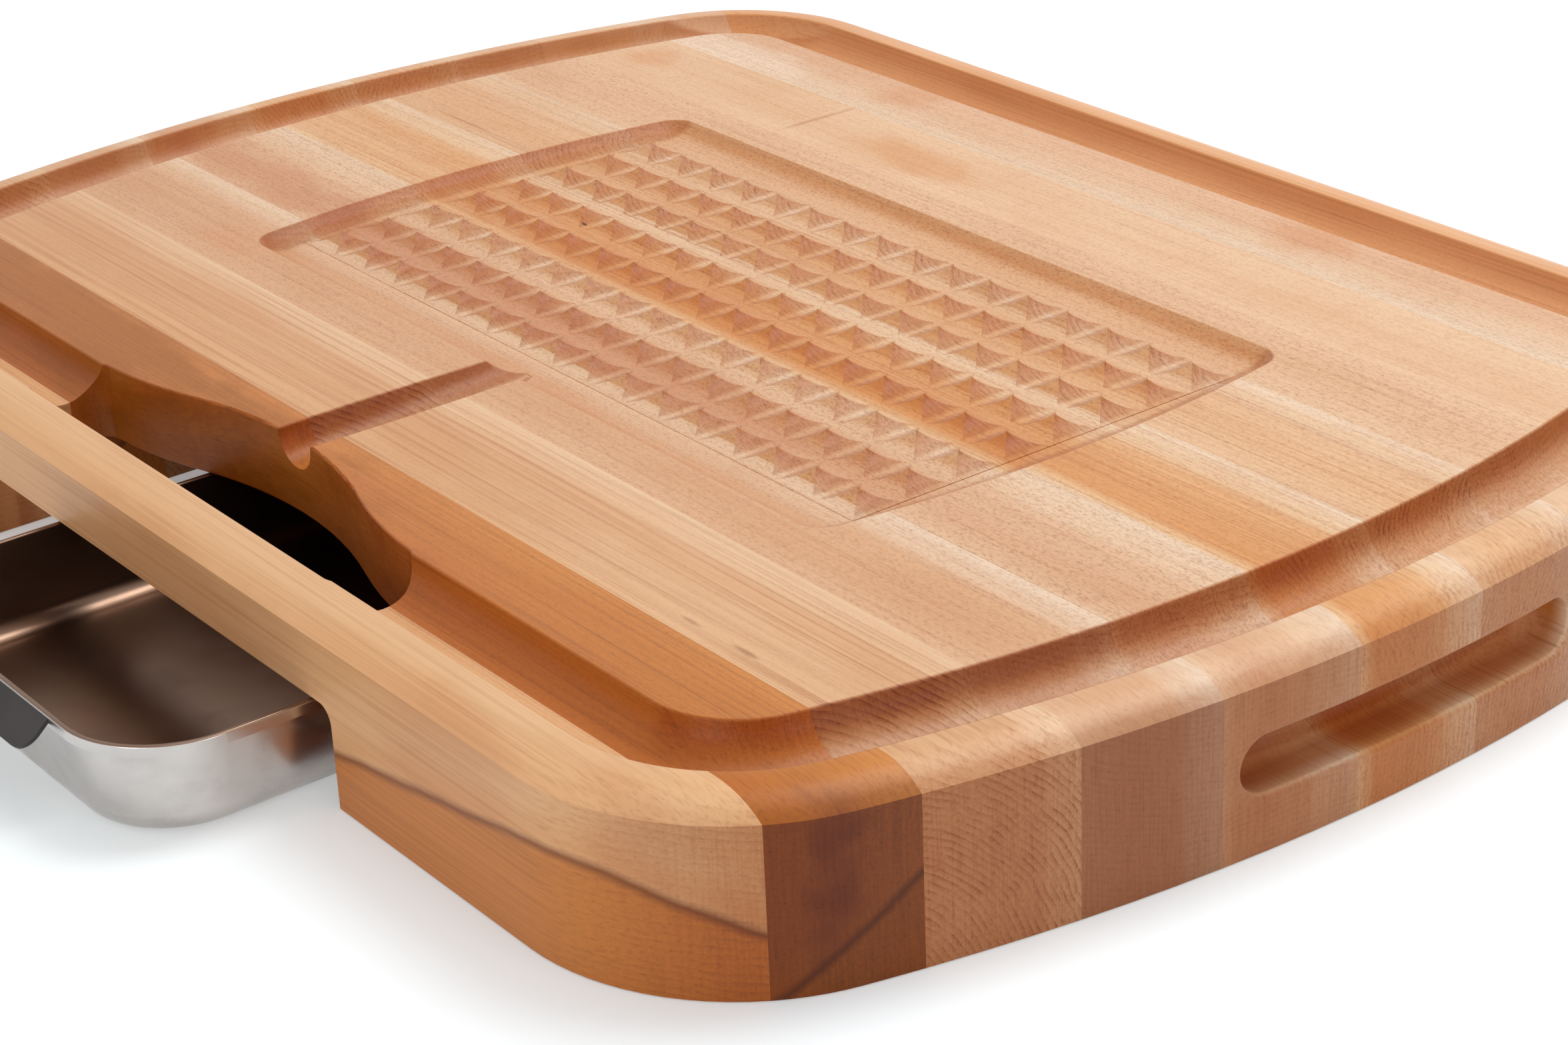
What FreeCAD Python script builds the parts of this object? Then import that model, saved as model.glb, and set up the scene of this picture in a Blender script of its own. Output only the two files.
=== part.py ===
import FreeCAD, Part

import math
import os

import Sketcher

# Carving board of glued staves with a steel pan that slides out from under it.
# Lengths are millimetres. X runs along the board, -Y is the side the pan comes out of, Z is up.
# The board is drawn about its own middle, and every piece is then moved along Y together, so that
# the origin ends up under the middle of the board and the part-open pan taken as one.

SIZES = {
    "board_length": 609.6,
    "board_depth": 457.2,
    "board_thickness": 57.15,
    "board_end_radius": 667.0,
    "board_corner_radius": 73.0,
    "edge_round_radius": 22.0,
    "edge_round_drop": 5.85,
    "groove_inset": 30.3,
    "groove_radius": 13.0,
    "groove_depth": 11.7,
    "mouth_width": 196.0,
    "mouth_front_inset": 16.8,
    "mouth_shoulder_inset": 43.8,
    "mouth_crown_inset": 60.1,
    "mouth_ogee_radius": 159.0,
    "mouth_corner_radius": 8.0,
    "spout_radius": 9.55,
    "spout_mouth_depth": 10.7,
    "spout_pocket_depth": 4.9,
    "spout_pocket_radius": 11.5,
    "pocket_length": 338.0,
    "pocket_depth": 188.6,
    "pocket_setback": 2.5,
    "pocket_end_radius": 520.0,
    "pocket_corner_slack": 0.3,
    "pocket_step": 0.2,
    "peak_columns": 16,
    "peak_rows": 8,
    "peak_margin": 14.0,
    "peak_setback": 4.0,
    "valley_share": 0.6555,
    "slot_length": 132.0,
    "slot_height": 17.8,
    "slot_middle_height": 26.4,
    "slot_depth": 20.0,
    "slot_setback": 5.0,
    "slot_nose_radius": 7.0,
    "slot_ease": 2.0,
    "top_ease": 0.8,
    "bay_ease": 1.0,
    "bay_width": 230.6,
    "bay_corner_radius": 5.0,
    "bay_back_radius": 14.0,
    "bay_end_gap": 12.0,
    "tray_width": 155.0,
    "tray_length": 254.0,
    "tray_height": 30.7,
    "tray_head_gap": 0.3,
    "tray_corner_radius": 33.0,
    "tray_draft": 3.0,
    "tray_sheet": 0.8,
    "tray_floor_radius": 6.2,
    "tray_offset": 29.0,
    "tray_out": 60.0,
    "rim_thickness": 1.8,
    "rim_height": 3.6,
    "rim_round": 0.6,
    "pull_width": 71.0,
    "pull_sheet": 1.2,
    "pull_reach": 9.0,
    "pull_drop": 8.0,
    "pull_top_gap": 0.9,
    "pull_corner_radius": 7.0,
    "overrun": 3.0,
}

# Glue lines as shares of the depth, from the pan's side to the far side.
GLUE_SHARES = (0.0702, 0.1555, 0.2539, 0.3513, 0.4563, 0.5612, 0.6618, 0.7450, 0.8325, 0.9156)

doc = FreeCAD.newDocument("carving_board")
sheet = doc.addObject("Spreadsheet::Sheet", "Sizes")
for row, (alias, value) in enumerate(SIZES.items(), start=1):
    sheet.set(f"A{row}", alias)
    sheet.set(f"B{row}", str(value))
    sheet.setAlias(f"B{row}", alias)
doc.recompute()

X_AXIS = FreeCAD.Vector(1, 0, 0)
Y_AXIS = FreeCAD.Vector(0, 1, 0)
Z_AXIS = FreeCAD.Vector(0, 0, 1)
# A sketch turned this way draws Y across and Z up.
SIDE_ON = FreeCAD.Rotation(Y_AXIS, Z_AXIS, X_AXIS, "XYZ")

# Formulas used more than once.
HALF_DEPTH = "(Sizes.board_depth / 2)"
PITCH = "((Sizes.pocket_length - 2 * Sizes.peak_margin) / Sizes.peak_columns)"
VALLEY_RADIUS = f"(Sizes.valley_share * {PITCH})"
VALLEY_DEPTH = f"({VALLEY_RADIUS} - sqrt({VALLEY_RADIUS}^2 - ({PITCH} / 2)^2))"
POCKET_CUT = f"({VALLEY_DEPTH} + Sizes.pocket_step)"
COVE_REACH = f"sqrt({VALLEY_RADIUS}^2 - ({VALLEY_RADIUS} - {POCKET_CUT})^2)"
COVE_GROWTH = f"({VALLEY_RADIUS} - {COVE_REACH})"
BAY_HEIGHT = "(Sizes.tray_height + Sizes.tray_head_gap)"
BAY_REACH = "(Sizes.tray_length + Sizes.bay_end_gap)"
SHIFT = "((Sizes.tray_out + Sizes.pull_reach) / 2)"


def number(formula):
    """Return a formula's value as a plain number."""
    value = sheet.evalExpression(formula)
    return float(getattr(value, "Value", value))


def drive(sketch, formula, kind, *places):
    """Add a measured constraint to a sketch and bind it to a formula."""
    index = sketch.addConstraint(Sketcher.Constraint(kind, *places, number(formula)))
    sketch.setExpression(f"Constraints[{index}]", formula)


def place(sketch, element, point, across, up):
    """Fix one point of a sketch at two formulas measured from the sketch's origin."""
    drive(sketch, across, "DistanceX", -1, 1, element, point)
    drive(sketch, up, "DistanceY", -1, 1, element, point)


def line(start, end):
    """Return a straight sketch element between two (across, up) points."""
    return Part.LineSegment(FreeCAD.Vector(*start, 0), FreeCAD.Vector(*end, 0))


def arc(centre, radius, start, end):
    """Return a sketch arc, anticlockwise between two angles in radians."""
    circle = Part.Circle(FreeCAD.Vector(*centre, 0), Z_AXIS, radius)
    return Part.ArcOfCircle(circle, start, end)


def join(sketch, elements, kind="Coincident"):
    """Join each listed element's end to the next one's start, round a closed loop."""
    for here, after in zip(elements, elements[1:] + elements[:1]):
        sketch.addConstraint(Sketcher.Constraint(kind, here, 2, after, 1))


def free_sketch(name, rotation=FreeCAD.Rotation()):
    """Return an empty sketch that stands outside any body."""
    sketch = doc.addObject("Sketcher::SketchObject", name)
    sketch.Placement = FreeCAD.Placement(FreeCAD.Vector(), rotation)
    return sketch


def body_sketch(body, name, role="XY_Plane", offset=None):
    """Return an empty sketch on one of a body's own origin planes, lifted by a formula."""
    sketch = body.newObject("Sketcher::SketchObject", name)
    plane = next(item for item in body.Origin.OriginFeatures if item.Role == role)
    sketch.AttachmentSupport = [(plane, "")]
    sketch.MapMode = "FlatFace"
    if offset:
        sketch.setExpression("AttachmentOffset.Base.z", offset)
    return sketch


def bowed_outline(sketch, length, depth, end_radius, corner_radius, setback="0"):
    """Draw a plan with straight long sides, bowed ends and round corners."""
    half_length = number(length) / 2
    half_depth = number(depth) / 2
    end = number(end_radius)
    corner = number(corner_radius)
    back = number(setback)
    bow = half_length - end
    side = half_depth - corner
    reach = bow + math.sqrt((end - corner) ** 2 - side**2)
    turn = math.atan2(side, reach - bow)
    quarter = math.pi / 2
    sketch.addGeometry(
        [
            line((-reach, back - half_depth), (reach, back - half_depth)),
            arc((reach, back - side), corner, -quarter, -turn),
            arc((bow, back), end, -turn, turn),
            arc((reach, back + side), corner, turn, quarter),
            line((reach, back + half_depth), (-reach, back + half_depth)),
            arc((-reach, back + side), corner, quarter, math.pi - turn),
            arc((-bow, back), end, math.pi - turn, math.pi + turn),
            arc((-reach, back - side), corner, math.pi + turn, 3 * quarter),
        ],
        False,
    )
    join(sketch, list(range(8)), "Tangent")
    for element in (0, 4):
        sketch.addConstraint(Sketcher.Constraint("Horizontal", element))
    for element in (3, 5, 7):
        sketch.addConstraint(Sketcher.Constraint("Equal", 1, element))
    sketch.addConstraint(Sketcher.Constraint("Equal", 2, 6))
    drive(sketch, corner_radius, "Radius", 1)
    drive(sketch, end_radius, "Radius", 2)
    drive(sketch, f"{setback} - ({depth}) / 2", "DistanceY", -1, 1, 0, 1)
    drive(sketch, f"{setback} + ({depth}) / 2", "DistanceY", -1, 1, 4, 1)
    place(sketch, 2, 3, f"({length}) / 2 - ({end_radius})", setback)
    place(sketch, 6, 3, f"({end_radius}) - ({length}) / 2", setback)


def round_rectangle(sketch, width, depth, radius, first=0):
    """Draw a rectangle with round corners about the sketch's origin."""
    across = number(width) / 2
    up = number(depth) / 2
    corner = number(radius)
    quarter = math.pi / 2
    flat_x = across - corner
    flat_y = up - corner
    sketch.addGeometry(
        [
            line((-flat_x, -up), (flat_x, -up)),
            arc((flat_x, -flat_y), corner, -quarter, 0),
            line((across, -flat_y), (across, flat_y)),
            arc((flat_x, flat_y), corner, 0, quarter),
            line((flat_x, up), (-flat_x, up)),
            arc((-flat_x, flat_y), corner, quarter, 2 * quarter),
            line((-across, flat_y), (-across, -flat_y)),
            arc((-flat_x, -flat_y), corner, 2 * quarter, 3 * quarter),
        ],
        False,
    )
    join(sketch, [first + step for step in range(8)], "Tangent")
    for step in (0, 4):
        sketch.addConstraint(Sketcher.Constraint("Horizontal", first + step))
    for step in (2, 6):
        sketch.addConstraint(Sketcher.Constraint("Vertical", first + step))
    for step in (3, 5, 7):
        sketch.addConstraint(Sketcher.Constraint("Equal", first + 1, first + step))
    drive(sketch, radius, "Radius", first + 1)
    drive(sketch, f"-({depth}) / 2", "DistanceY", -1, 1, first, 1)
    drive(sketch, f"({depth}) / 2", "DistanceY", -1, 1, first + 4, 1)
    drive(sketch, f"({width}) / 2", "DistanceX", -1, 1, first + 2, 1)
    drive(sketch, f"-({width}) / 2", "DistanceX", -1, 1, first + 6, 1)


def round_nosed(sketch, across, cutter, depth, clearance):
    """Draw the section of a round-nosed cut, sunk below the top by a formula."""
    middle = number(across)
    radius = number(cutter)
    lid = number(f"Sizes.board_thickness + {clearance}")
    spring = f"Sizes.board_thickness - ({depth}) + {cutter}"
    level = number(spring)
    sketch.addGeometry(
        [
            arc((middle, level), radius, math.pi, 2 * math.pi),
            line((middle + radius, level), (middle + radius, lid)),
            line((middle + radius, lid), (middle - radius, lid)),
            line((middle - radius, lid), (middle - radius, level)),
        ],
        False,
    )
    for here, after, kind in ((0, 1, "Tangent"), (1, 2, "Coincident"), (2, 3, "Coincident"), (3, 0, "Tangent")):
        sketch.addConstraint(Sketcher.Constraint(kind, here, 2, after, 1))
    sketch.addConstraint(Sketcher.Constraint("Horizontal", 2))
    for element in (1, 3):
        sketch.addConstraint(Sketcher.Constraint("Vertical", element))
    place(sketch, 0, 3, across, spring)
    drive(sketch, cutter, "Radius", 0)
    drive(sketch, f"Sizes.board_thickness + {clearance}", "DistanceY", -1, 1, 2, 1)


def pad(body, name, sketch, length):
    """Pad a sketch of a body by a formula and return the feature."""
    feature = body.newObject("PartDesign::Pad", name)
    feature.Profile = sketch
    feature.setExpression("Length", length)
    doc.recompute()
    return feature


def round_edges(body, name, base, radius, wanted):
    """Fillet every edge of a feature that the given test picks."""
    names = [f"Edge{index}" for index, edge in enumerate(base.Shape.Edges, start=1) if wanted(edge)]
    feature = body.newObject("PartDesign::Fillet", name)
    feature.Base = (base, names)
    feature.setExpression("Radius", radius)
    doc.recompute()
    return feature


def level_at(height):
    """Return a test for edges that lie level at a formula's height."""
    wanted = number(height)
    slack = number("Sizes.overrun") / 1000

    def test(edge):
        box = edge.BoundBox
        return abs(box.ZMin - wanted) < slack and abs(box.ZMax - wanted) < slack

    return test


def upright(edge):
    """Tell whether an edge stands straight up."""
    box = edge.BoundBox
    return max(box.XLength, box.YLength) < box.ZLength / 1000


def sweep(name, profile, path):
    """Sweep a closed profile once round a closed path of eight edges."""
    feature = doc.addObject("Part::Sweep", name)
    feature.Sections = [profile]
    feature.Spine = (path, [f"Edge{index}" for index in range(1, 9)])
    feature.Solid = True
    return feature


def inset_path(name, inset):
    """Return the board's outline moved in by a formula, drawn at the level of the top."""
    path = free_sketch(name)
    bowed_outline(
        path,
        f"Sizes.board_length - 2 * ({inset})",
        f"Sizes.board_depth - 2 * ({inset})",
        f"Sizes.board_end_radius - ({inset})",
        f"Sizes.board_corner_radius - ({inset})",
    )
    path.setExpression("Placement.Base.z", "Sizes.board_thickness")
    return path


# Blank: the glued-up plank cut to its plan.
blank = doc.addObject("PartDesign::Body", "Blank")
blank_plan = body_sketch(blank, "BlankPlan")
bowed_outline(
    blank_plan,
    "Sizes.board_length",
    "Sizes.board_depth",
    "Sizes.board_end_radius",
    "Sizes.board_corner_radius",
)
pad(blank, "BlankPad", blank_plan, "Sizes.board_thickness")

# Rounded top edge: part of a quarter round, which leaves a crease down on the side.
EDGE_WIDTH = "sqrt(Sizes.edge_round_radius^2 - (Sizes.edge_round_radius - Sizes.edge_round_drop)^2)"
edge_profile = free_sketch("EdgeProfile", SIDE_ON)
half_depth = number(HALF_DEPTH)
top = number("Sizes.board_thickness")
radius = number("Sizes.edge_round_radius")
crease = top - number("Sizes.edge_round_drop")
inner = number(EDGE_WIDTH) - half_depth
clear = number("Sizes.overrun")
edge_profile.addGeometry(
    [
        arc((inner, top - radius), radius, math.pi / 2, math.pi - math.asin((crease - top + radius) / radius)),
        line((-half_depth, crease), (-half_depth - clear, crease)),
        line((-half_depth - clear, crease), (-half_depth - clear, top + clear)),
        line((-half_depth - clear, top + clear), (inner, top + clear)),
        line((inner, top + clear), (inner, top)),
    ],
    False,
)
join(edge_profile, list(range(5)))
for element in (1, 3):
    edge_profile.addConstraint(Sketcher.Constraint("Horizontal", element))
for element in (2, 4):
    edge_profile.addConstraint(Sketcher.Constraint("Vertical", element))
place(edge_profile, 0, 1, f"{EDGE_WIDTH} - {HALF_DEPTH}", "Sizes.board_thickness")
place(edge_profile, 1, 1, f"-{HALF_DEPTH}", "Sizes.board_thickness - Sizes.edge_round_drop")
place(edge_profile, 3, 1, f"-{HALF_DEPTH} - Sizes.overrun", "Sizes.board_thickness + Sizes.overrun")
drive(edge_profile, "Sizes.edge_round_radius", "Radius", 0)
edge_cut = sweep("EdgeCut", edge_profile, inset_path("EdgePath", "0"))

# Juice groove: a round-nosed cut that follows the outline.
groove_profile = free_sketch("GrooveProfile", SIDE_ON)
round_nosed(
    groove_profile,
    f"Sizes.groove_inset - {HALF_DEPTH}",
    "Sizes.groove_radius",
    "Sizes.groove_depth",
    "Sizes.overrun",
)
groove_cut = sweep("GrooveCut", groove_profile, inset_path("GroovePath", "Sizes.groove_inset"))

# Pocket: a shallow hollow with the same bowed plan as the board. Its cove is left by the valleys' own cutter, so the
# plan is drawn where that cutter would stand upright, above the top.
pocket = doc.addObject("PartDesign::Body", "Pocket")
POCKET_FLOOR = f"(Sizes.board_thickness - {POCKET_CUT})"
pocket_plan = body_sketch(pocket, "PocketPlan", offset=POCKET_FLOOR)
bowed_outline(
    pocket_plan,
    f"(Sizes.pocket_length + 2 * {COVE_GROWTH})",
    f"(Sizes.pocket_depth + 2 * {COVE_GROWTH})",
    f"(Sizes.pocket_end_radius + {COVE_GROWTH})",
    f"({VALLEY_RADIUS} + Sizes.pocket_corner_slack)",
    "Sizes.pocket_setback",
)
pocket_pad = pad(pocket, "PocketPad", pocket_plan, f"{VALLEY_RADIUS} + Sizes.overrun")
round_edges(pocket, "PocketCove", pocket_pad, VALLEY_RADIUS, level_at(POCKET_FLOOR))

# Field of peaks left standing in the pocket by round-nosed cuts in rows both ways.
field = doc.addObject("PartDesign::Body", "Field")
FIELD_BASE = f"({POCKET_FLOOR} - Sizes.overrun)"
field_plan = body_sketch(field, "FieldPlan", offset=FIELD_BASE)
wide = number(f"{PITCH} * Sizes.peak_columns") / 2
deep = number(f"{PITCH} * Sizes.peak_rows") / 2
back = number("Sizes.peak_setback")
field_plan.addGeometry(
    [
        line((-wide, back - deep), (wide, back - deep)),
        line((wide, back - deep), (wide, back + deep)),
        line((wide, back + deep), (-wide, back + deep)),
        line((-wide, back + deep), (-wide, back - deep)),
    ],
    False,
)
join(field_plan, list(range(4)))
for element in (0, 2):
    field_plan.addConstraint(Sketcher.Constraint("Horizontal", element))
for element in (1, 3):
    field_plan.addConstraint(Sketcher.Constraint("Vertical", element))
FIELD_WIDE = f"({PITCH} * Sizes.peak_columns / 2)"
FIELD_DEEP = f"({PITCH} * Sizes.peak_rows / 2)"
place(field_plan, 0, 1, f"-{FIELD_WIDE}", f"Sizes.peak_setback - {FIELD_DEEP}")
place(field_plan, 1, 2, FIELD_WIDE, f"Sizes.peak_setback + {FIELD_DEEP}")
field_pad = pad(field, "FieldPad", field_plan, f"{POCKET_CUT} + 2 * Sizes.overrun")
VALLEY_LEVEL = f"(Sizes.board_thickness - {VALLEY_DEPTH} + {VALLEY_RADIUS})"


def valley_rows(name, role, across, direction, count, before):
    """Cut one round-nosed valley through the field and repeat it at the pitch."""
    sketch = body_sketch(field, f"{name}Profile", role)
    centre = FreeCAD.Vector(number(across), number(VALLEY_LEVEL), 0)
    sketch.addGeometry(Part.Circle(centre, Z_AXIS, number(VALLEY_RADIUS)), False)
    place(sketch, 0, 3, across, VALLEY_LEVEL)
    drive(sketch, VALLEY_RADIUS, "Radius", 0)
    cut = field.newObject("PartDesign::Pocket", f"{name}Cut")
    cut.Profile = sketch
    cut.Type = "ThroughAll"
    cut.Midplane = True
    doc.recompute()
    rows = field.newObject("PartDesign::LinearPattern", f"{name}Rows")
    rows.Originals = [cut]
    rows.Direction = (next(item for item in field.Origin.OriginFeatures if item.Role == direction), [""])
    rows.setExpression("Length", f"{PITCH} * {count}")
    rows.setExpression("Occurrences", f"{count} + 1")
    field.Tip = rows
    doc.recompute()
    if rows.Shape.Volume >= before.Shape.Volume:
        raise RuntimeError(f"{name} cut nothing")
    return rows


columns = valley_rows(
    "Column", "XZ_Plane", f"-{FIELD_WIDE}", "X_Axis", "Sizes.peak_columns", field_pad
)
valley_rows(
    "Row", "YZ_Plane", f"Sizes.peak_setback - {FIELD_DEEP}", "Y_Axis", "Sizes.peak_rows", columns
)

pocket_cut = doc.addObject("Part::Cut", "PocketCut")
pocket_cut.Base = pocket
pocket_cut.Tool = field

# Mouth: the opening from the top down to the pan, with an ogee edge that rises to the spout.
mouth = doc.addObject("PartDesign::Body", "Mouth")
MOUTH_FLOOR = f"({BAY_HEIGHT} - Sizes.overrun)"
mouth_plan = body_sketch(mouth, "MouthPlan", offset=MOUTH_FLOOR)
OGEE_RISE = "(Sizes.mouth_crown_inset - Sizes.mouth_shoulder_inset)"
OGEE_TURN = f"sqrt(4 * Sizes.mouth_ogee_radius * {OGEE_RISE} - {OGEE_RISE}^2)"
SHOULDER = f"(Sizes.mouth_shoulder_inset - {HALF_DEPTH})"
CROWN = f"(Sizes.mouth_crown_inset - {HALF_DEPTH})"
radius = number("Sizes.mouth_ogee_radius")
side = number("Sizes.mouth_width") / 2
front = number("Sizes.mouth_front_inset") - half_depth
turn = number(OGEE_TURN)
shoulder = number(SHOULDER)
crown = number(CROWN)
lean = math.asin(turn / 2 / radius)
wall = math.asin((turn - side) / radius)
meet = shoulder + radius - radius * math.cos(wall)
mouth_plan.addGeometry(
    [
        line((-side, front), (side, front)),
        line((side, front), (side, meet)),
        arc((turn, shoulder + radius), radius, 1.5 * math.pi - lean, 1.5 * math.pi - wall),
        arc((0, crown - radius), radius, math.pi / 2 - lean, math.pi / 2 + lean),
        arc((-turn, shoulder + radius), radius, 1.5 * math.pi + wall, 1.5 * math.pi + lean),
        line((-side, meet), (-side, front)),
    ],
    False,
)
for first, first_end, second, second_end in ((0, 2, 1, 1), (1, 2, 2, 2), (4, 1, 5, 1), (5, 2, 0, 1)):
    mouth_plan.addConstraint(Sketcher.Constraint("Coincident", first, first_end, second, second_end))
mouth_plan.addConstraint(Sketcher.Constraint("Tangent", 2, 1, 3, 1))
mouth_plan.addConstraint(Sketcher.Constraint("Tangent", 3, 2, 4, 2))
mouth_plan.addConstraint(Sketcher.Constraint("Horizontal", 0))
for element in (1, 5):
    mouth_plan.addConstraint(Sketcher.Constraint("Vertical", element))
for element in (2, 4):
    mouth_plan.addConstraint(Sketcher.Constraint("Equal", 3, element))
drive(mouth_plan, "Sizes.mouth_ogee_radius", "Radius", 3)
place(mouth_plan, 0, 1, "-Sizes.mouth_width / 2", f"Sizes.mouth_front_inset - {HALF_DEPTH}")
drive(mouth_plan, "Sizes.mouth_width / 2", "DistanceX", -1, 1, 0, 2)
place(mouth_plan, 3, 3, "0", f"{CROWN} - Sizes.mouth_ogee_radius")
for element in (2, 4):
    drive(mouth_plan, f"{SHOULDER} + Sizes.mouth_ogee_radius", "DistanceY", -1, 1, element, 3)
mouth_pad = pad(mouth, "MouthPad", mouth_plan, f"Sizes.board_thickness - {MOUTH_FLOOR} + Sizes.overrun")


def mouth_corner(edge):
    """Tell whether an edge is one of the mouth's four upright corners."""
    return upright(edge) and abs(abs(edge.BoundBox.XMin) - side) < clear


round_edges(mouth, "MouthCorners", mouth_pad, "Sizes.mouth_corner_radius", mouth_corner)

# Spout: a round-nosed channel that falls from the pocket to the mouth.
spout = doc.addObject("PartDesign::Body", "Spout")


def spout_section(name, along, radius, depth):
    """Draw the spout's section across the board at a formula's place along Y."""
    sketch = body_sketch(spout, name, "XZ_Plane", f"-({along})")
    round_nosed(sketch, "0", radius, depth, "4 * Sizes.overrun")
    return sketch


POCKET_FRONT = "(Sizes.pocket_setback - Sizes.pocket_depth / 2)"
spout_low = spout_section(
    "SpoutLow", f"{CROWN} - Sizes.overrun", "Sizes.spout_radius", "Sizes.spout_mouth_depth"
)
spout_high = spout_section(
    "SpoutHigh", f"{POCKET_FRONT} + {COVE_REACH}", "Sizes.spout_pocket_radius", "Sizes.spout_pocket_depth"
)
doc.recompute()
spout_loft = spout.newObject("PartDesign::AdditiveLoft", "SpoutLoft")
spout_loft.Profile = spout_low
spout_loft.Sections = [spout_high]
spout_loft.Ruled = True

# Bay: the room under the board that the pan slides in, open to the table and to the front.
bay = doc.addObject("PartDesign::Body", "Bay")
bay_plan = body_sketch(bay, "BayPlan", offset="-Sizes.overrun")
side = number("Sizes.bay_width") / 2
near = -half_depth - clear
far = number(BAY_REACH) - half_depth
bay_plan.addGeometry(
    [
        line((-side, near), (side, near)),
        line((side, near), (side, far)),
        line((side, far), (-side, far)),
        line((-side, far), (-side, near)),
    ],
    False,
)
join(bay_plan, list(range(4)))
for element in (0, 2):
    bay_plan.addConstraint(Sketcher.Constraint("Horizontal", element))
for element in (1, 3):
    bay_plan.addConstraint(Sketcher.Constraint("Vertical", element))
place(bay_plan, 0, 1, "-Sizes.bay_width / 2", f"-{HALF_DEPTH} - Sizes.overrun")
place(bay_plan, 1, 2, "Sizes.bay_width / 2", f"{BAY_REACH} - {HALF_DEPTH}")
bay_pad = pad(bay, "BayPad", bay_plan, f"{BAY_HEIGHT} + Sizes.overrun")


def bay_back(edge):
    """Tell whether an edge is an upright corner at the bay's far end."""
    return upright(edge) and edge.BoundBox.YMin > far - clear


bay_corners = round_edges(bay, "BayCorners", bay_pad, "Sizes.bay_back_radius", bay_back)


def bay_crown(edge):
    """Tell whether an edge is round the top of the bay, but not across its open front."""
    return level_at(BAY_HEIGHT)(edge) and edge.BoundBox.YMax > near + clear


round_edges(bay, "BayShoulders", bay_corners, "Sizes.bay_corner_radius", bay_crown)


def finger_slot(name, inward):
    """Make the cutter for a finger slot in one end, with round ends and a round-nosed back."""
    body = doc.addObject("PartDesign::Body", name)
    sketch = body_sketch(body, f"{name}Face", "YZ_Plane")
    half = number("(Sizes.slot_length - Sizes.slot_height) / 2")
    end = number("Sizes.slot_height / 2")
    middle_y = number("Sizes.slot_setback")
    middle_z = number("Sizes.slot_middle_height")
    quarter = math.pi / 2
    sketch.addGeometry(
        [
            line((middle_y - half, middle_z - end), (middle_y + half, middle_z - end)),
            arc((middle_y + half, middle_z), end, -quarter, quarter),
            line((middle_y + half, middle_z + end), (middle_y - half, middle_z + end)),
            arc((middle_y - half, middle_z), end, quarter, 3 * quarter),
        ],
        False,
    )
    join(sketch, list(range(4)), "Tangent")
    sketch.addConstraint(Sketcher.Constraint("Horizontal", 0))
    reach = "(Sizes.slot_length - Sizes.slot_height) / 2"
    place(sketch, 1, 3, f"Sizes.slot_setback + {reach}", "Sizes.slot_middle_height")
    drive(sketch, f"Sizes.slot_setback - {reach}", "DistanceX", -1, 1, 3, 3)
    drive(sketch, "Sizes.slot_height / 2", "Radius", 1)
    feature = pad(body, f"{name}Pad", sketch, "Sizes.slot_depth + Sizes.overrun")
    feature.Reversed = inward > 0
    doc.recompute()
    nose = -inward * number("Sizes.slot_depth + Sizes.overrun")

    def at_nose(edge):
        box = edge.BoundBox
        return abs(box.XMin - nose) < clear / 1000 and abs(box.XMax - nose) < clear / 1000

    round_edges(body, f"{name}Nose", feature, "Sizes.slot_nose_radius", at_nose)
    outer = "(Sizes.board_length / 2 + Sizes.overrun)"
    body.setExpression("Placement.Base.x", outer if inward > 0 else f"-{outer}")
    return body


slot_right = finger_slot("SlotRight", 1)
slot_left = finger_slot("SlotLeft", -1)

# Machined board: the blank less every cut, still in one piece.
machined = blank
for cutter in (edge_cut, groove_cut, pocket_cut, mouth, spout, bay, slot_right, slot_left):
    cut = doc.addObject("Part::Cut", f"After{cutter.Name}")
    cut.Base = machined
    cut.Tool = cutter
    doc.recompute()
    if cut.Shape.Volume >= machined.Shape.Volume:
        raise RuntimeError(f"{cutter.Name} cut nothing")
    machined = cut

# Eased edges: what a hand, a knife or a cloth meets is broken a little.
board = doc.addObject("PartDesign::Body", "Board")
board.BaseFeature = machined
doc.recompute()
slack = clear / 1000


def level(low, high, wanted):
    """Tell whether a span is flat at a wanted value."""
    return abs(low - wanted) < slack and abs(high - wanted) < slack


def sharp(shape, edge):
    """Tell whether the two faces of an edge meet at a real corner."""
    sides = shape.ancestorsOfType(edge, Part.Face)
    middle = edge.valueAt((edge.FirstParameter + edge.LastParameter) / 2)
    normals = [side.normalAt(*side.Surface.parameter(middle)) for side in sides]
    return len(normals) == 2 and normals[0].getAngle(normals[1]) > math.pi / 12


def slot_lip(box):
    """Tell whether an edge's box is round the opening of a finger slot."""
    middle = number("Sizes.slot_middle_height")
    reach = number("Sizes.slot_height / 2") + slack
    nose = number("Sizes.board_length / 2 - Sizes.slot_depth + Sizes.slot_nose_radius")
    outside = min(abs(box.XMin), abs(box.XMax)) > nose
    return outside and box.ZMin > middle - reach and box.ZMax < middle + reach


def top_lip(box):
    """Tell whether an edge's box lies in the top."""
    return level(box.ZMin, box.ZMax, top)


def door_edge(box):
    """Tell whether an edge's box is round the doorway in the front."""
    return level(box.YMin, box.YMax, -half_depth) and slack < box.ZMax < crease - clear


def mouth_foot(box):
    """Tell whether an edge's box is where the mouth opens into the bay."""
    return level(box.ZMin, box.ZMax, number(BAY_HEIGHT)) and box.YMin > clear - half_depth


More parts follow.
